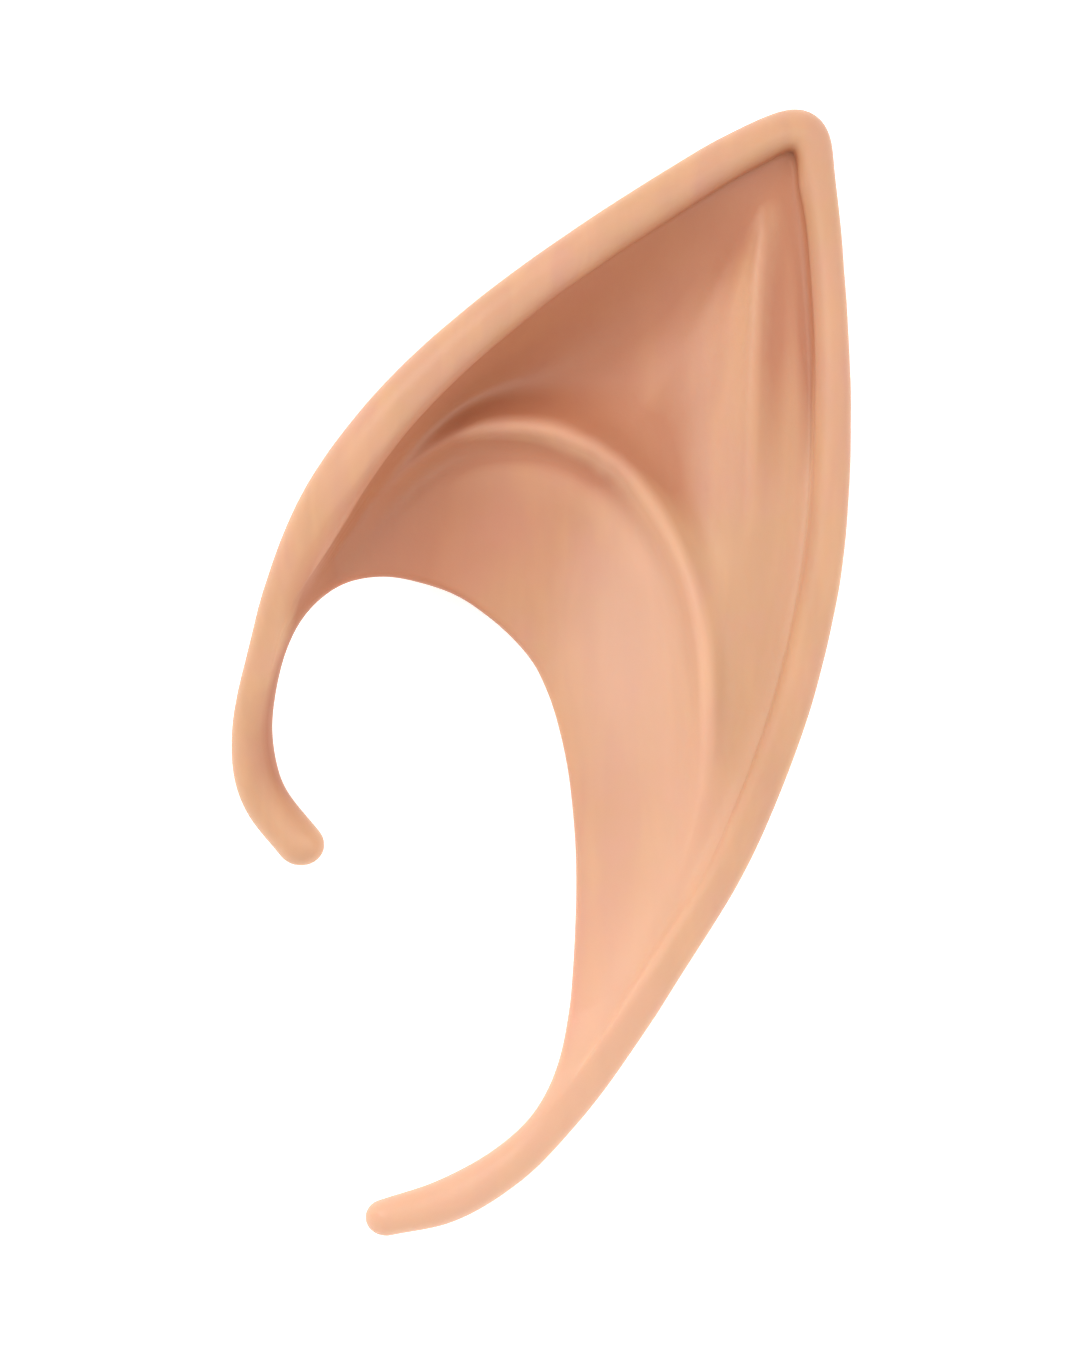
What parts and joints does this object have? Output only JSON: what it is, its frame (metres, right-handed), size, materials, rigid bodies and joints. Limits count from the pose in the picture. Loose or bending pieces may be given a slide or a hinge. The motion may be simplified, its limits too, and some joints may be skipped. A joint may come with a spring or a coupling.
{
  "type": "elf ear",
  "caption": "Pointed latex costume ear for a left ear, with a hollow pocket that slips over the real ear, a rolled rim and two hooks.",
  "frame": {"origin": "under the middle of the ear's outline, on the surface that it lies on, with its face up", "axes": "+Y towards the tip, +X towards the back of the wearer's head, +Z out of the ear's face"},
  "size_m": [0.0621, 0.1132, 0.0228],
  "materials": {
    "latex": "skin-coloured slip-cast latex, satin, finely powdered"
  },
  "bodies": {
    "root": {"ear_shell": "latex"}
  },
  "joints": []
}
